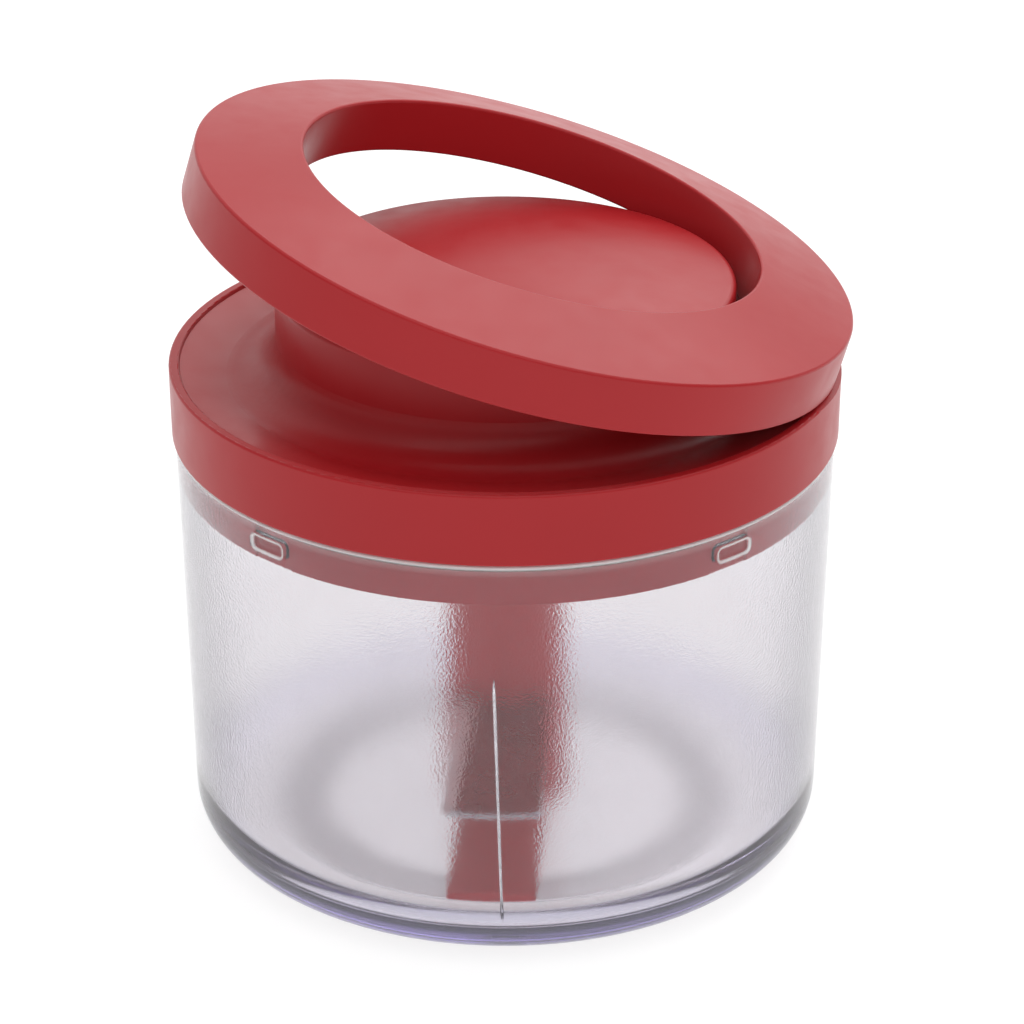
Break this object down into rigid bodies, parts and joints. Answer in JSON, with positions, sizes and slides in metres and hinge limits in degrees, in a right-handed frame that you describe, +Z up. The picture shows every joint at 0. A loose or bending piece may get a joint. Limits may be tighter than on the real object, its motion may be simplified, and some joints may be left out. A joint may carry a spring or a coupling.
{
  "type": "ring lever food chopper",
  "caption": "Hand food chopper: a frosted jar with a geared lid, whose hinged ring is pressed down round a dome to turn a stem with blades inside.",
  "frame": {"origin": "on the table under the middle of the jar", "axes": "+Z up along the jar's axis; +X towards the ring's hinge, so the raised ring stands highest on the -X side; the hinge pin runs along Y"},
  "size_m": [0.1338, 0.1324, 0.1472],
  "materials": {
    "jar_clear": "frosted clear",
    "grip": "matte",
    "pin_steel": "satin",
    "lid_red": "satin gloss",
    "dome_red": "satin gloss",
    "cover_red": "satin",
    "seal_rubber": "matte",
    "screw_steel": "zinc plated",
    "frame_plastic": "matte",
    "axle_steel": "ground",
    "bush_plastic": "natural acetal",
    "ring_red": "satin gloss",
    "plate_red": "satin",
    "arm_plastic": "matte",
    "spring_steel": "drawn wire",
    "gear_plastic": "natural acetal",
    "clip_steel": "oiled spring steel",
    "stem_red": "satin",
    "blade_steel": "ground edge",
    "sweep_red": "satin"
  },
  "bodies": {
    "base": {"jar": "jar_clear", "base_grip_ring": "grip", "pivot_pin": "pin_steel"},
    "lid": {"lid_shell": "lid_red", "dome_cap": "dome_red", "under_cover": "cover_red", "lid_seal": "seal_rubber", "cover_screws": "screw_steel", "gear_frame": "frame_plastic", "frame_screws": "screw_steel", "cluster_axle": "axle_steel", "crown_axle": "axle_steel", "shaft_bush": "bush_plastic", "shaft_seal": "seal_rubber", "return_springs": "spring_steel"},
    "lever": {"ring_lever": "ring_red", "ring_underplate": "plate_red", "underplate_screws": "screw_steel", "drive_arm": "arm_plastic", "arm_screws": "screw_steel", "hinge_pin": "axle_steel"},
    "cluster": {"cluster_gear": "gear_plastic"},
    "crown": {"crown_gear": "gear_plastic"},
    "drive": {"drive_shaft": "axle_steel", "drive_pinion": "gear_plastic", "shaft_clip": "clip_steel", "thrust_washer": "bush_plastic", "drive_coupler": "arm_plastic"},
    "blades": {"blade_stem": "stem_red", "stem_bush": "bush_plastic", "drive_socket": "arm_plastic", "lower_blade": "blade_steel", "upper_blade": "blade_steel", "sweep_arms": "sweep_red"}
  },
  "joints": [
    {"name": "lid_lift", "type": "slide", "parent": "base", "child": "lid", "axis": [0, 0, 1], "range_m": [0, 0.06]},
    {"name": "lever_hinge", "type": "hinge", "parent": "lid", "child": "lever", "pos_m": [0.06, 0, 0.1055], "axis": [0, -1, 0], "range_deg": [0, 16], "stiffness_Nm_per_rad": 0.3, "springref_deg": -68.75, "deforming": ["return_springs"]},
    {"name": "cluster_spin", "type": "hinge", "parent": "lid", "child": "cluster", "pos_m": [0.01696, 0, 0.09635], "axis": [0, -1, 0], "range_deg": [-101.4, 0]},
    {"name": "crown_spin", "type": "hinge", "parent": "lid", "child": "crown", "pos_m": [0, 0, 0.10238], "axis": [0, -1, 0], "range_deg": [0, 202.7]},
    {"name": "drive_spin", "type": "hinge", "parent": "lid", "child": "drive", "pos_m": [0, 0, 0.09], "axis": [0, 0, -1], "range_deg": [0, 405.4]},
    {"name": "blade_spin", "type": "hinge", "parent": "base", "child": "blades", "pos_m": [0, 0, 0.02], "axis": [0, 0, -1], "range_deg": [0, 405.4]}
  ],
  "couplings": [
    {"joint": "cluster_spin", "follows": "lever_hinge", "ratio": -6.3333},
    {"joint": "crown_spin", "follows": "lever_hinge", "ratio": 12.667},
    {"joint": "drive_spin", "follows": "lever_hinge", "ratio": 25.333},
    {"joint": "blade_spin", "follows": "lever_hinge", "ratio": 25.333}
  ]
}
